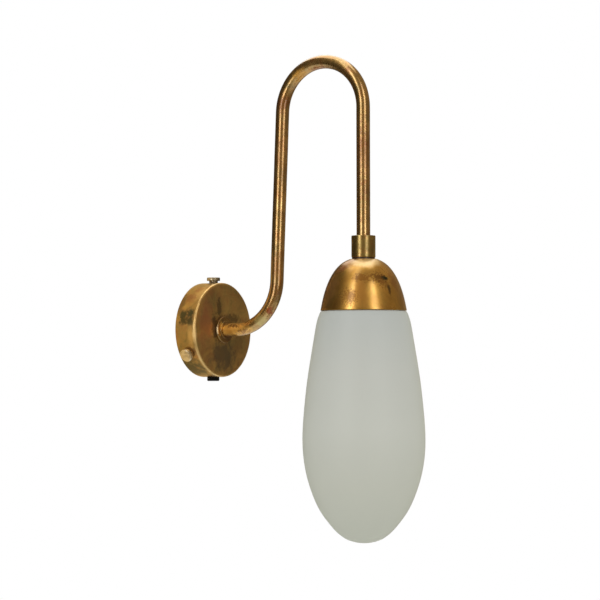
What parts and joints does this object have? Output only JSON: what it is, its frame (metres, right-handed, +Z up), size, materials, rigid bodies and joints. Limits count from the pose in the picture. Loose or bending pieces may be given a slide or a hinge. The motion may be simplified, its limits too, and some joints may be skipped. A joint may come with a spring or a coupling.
{
  "type": "wall lamp",
  "caption": "Wall lamp: round brass canopy, swan-neck tube arm over in a U, domed brass cap and a closed pear-shaped frosted glass shade hanging down.",
  "frame": {"origin": "centre of the round canopy on the wall plane, which is also the centre of the wall screw pattern", "axes": "+Y into the wall, +Z up, so the lamp stands out from the wall along -Y and +X is to the right of someone facing it"},
  "size_m": [0.1066, 0.2274, 0.4278],
  "materials": {
    "aged_brass_canopy": "antique spun brass, dark mottled patina",
    "aged_brass_arm": "antique drawn brass tube, brown patina",
    "aged_brass_cap": "antique spun brass, satin with dark spots",
    "dark_brass": "turned brass, olive patina",
    "pale_brass": "turned brass, satin",
    "plain_brass": "bright turned brass",
    "tinned_brass": "tinned",
    "zinc_steel": "zinc plated",
    "spring_steel": "bright rolled",
    "blackened_steel": "blackened",
    "black_rubber": "moulded, matt",
    "silicone": "moulded, translucent white",
    "white_polyamide": "moulded",
    "brown_sleeve": "extruded sleeve",
    "blue_sleeve": "extruded sleeve",
    "green_sleeve": "extruded sleeve, green and yellow",
    "black_phenolic": "compression moulded",
    "white_ceramic": "unglazed steatite",
    "solder": "tin solder",
    "frosted_glass": "acid frosted, satin, nearly opaque",
    "opal_glass": "white coated"
  },
  "bodies": {
    "root": {"wall_bracket": "zinc_steel", "canopy": "aged_brass_canopy", "cable_grommet": "black_rubber", "terminal_block": "white_polyamide", "terminal_screws": "zinc_steel", "block_fixing_screws": "zinc_steel", "root_flange": "aged_brass_arm", "root_nipple": "zinc_steel", "root_lock_washer": "zinc_steel", "earth_tag": "tinned_brass", "root_locknut": "plain_brass", "arm_tube": "aged_brass_arm", "wire_live": "brown_sleeve", "wire_neutral": "blue_sleeve", "wire_earth": "green_sleeve", "head_collar": "dark_brass", "collar_washer": "blackened_steel", "head_nipple": "zinc_steel", "cap": "aged_brass_cap", "cap_locknut": "plain_brass", "gallery_plate": "zinc_steel", "gallery_locknut": "plain_brass", "neck_gasket": "silicone", "shade_springs": "spring_steel", "holder_dome": "black_phenolic", "holder_body": "black_phenolic", "contact_block": "white_ceramic", "contact_screws": "plain_brass", "screw_shell": "plain_brass", "centre_contact": "spring_steel"},
    "shade": {"glass_shade": "frosted_glass"},
    "bulb": {"bulb_glass": "opal_glass", "bulb_base": "plain_brass", "bulb_contact": "solder"},
    "top_screw": {"canopy_screw_top": "pale_brass"},
    "left_screw": {"canopy_screw_left": "pale_brass"},
    "right_screw": {"canopy_screw_right": "pale_brass"}
  },
  "joints": [
    {"name": "shade_pull", "type": "slide", "parent": "root", "child": "shade", "axis": [0, 0, -1], "range_m": [0, 0.132]},
    {"name": "bulb_out", "type": "slide", "parent": "root", "child": "bulb", "axis": [0, 0, -1], "range_m": [0, 0.03]},
    {"name": "top_screw_out", "type": "slide", "parent": "root", "child": "top_screw", "axis": [0, 0, 1], "range_m": [0, 0.0095]},
    {"name": "left_screw_out", "type": "slide", "parent": "root", "child": "left_screw", "axis": [-0.866, 0, -0.5], "range_m": [0, 0.0095]},
    {"name": "right_screw_out", "type": "slide", "parent": "root", "child": "right_screw", "axis": [0.866, 0, -0.5], "range_m": [0, 0.0095]}
  ]
}
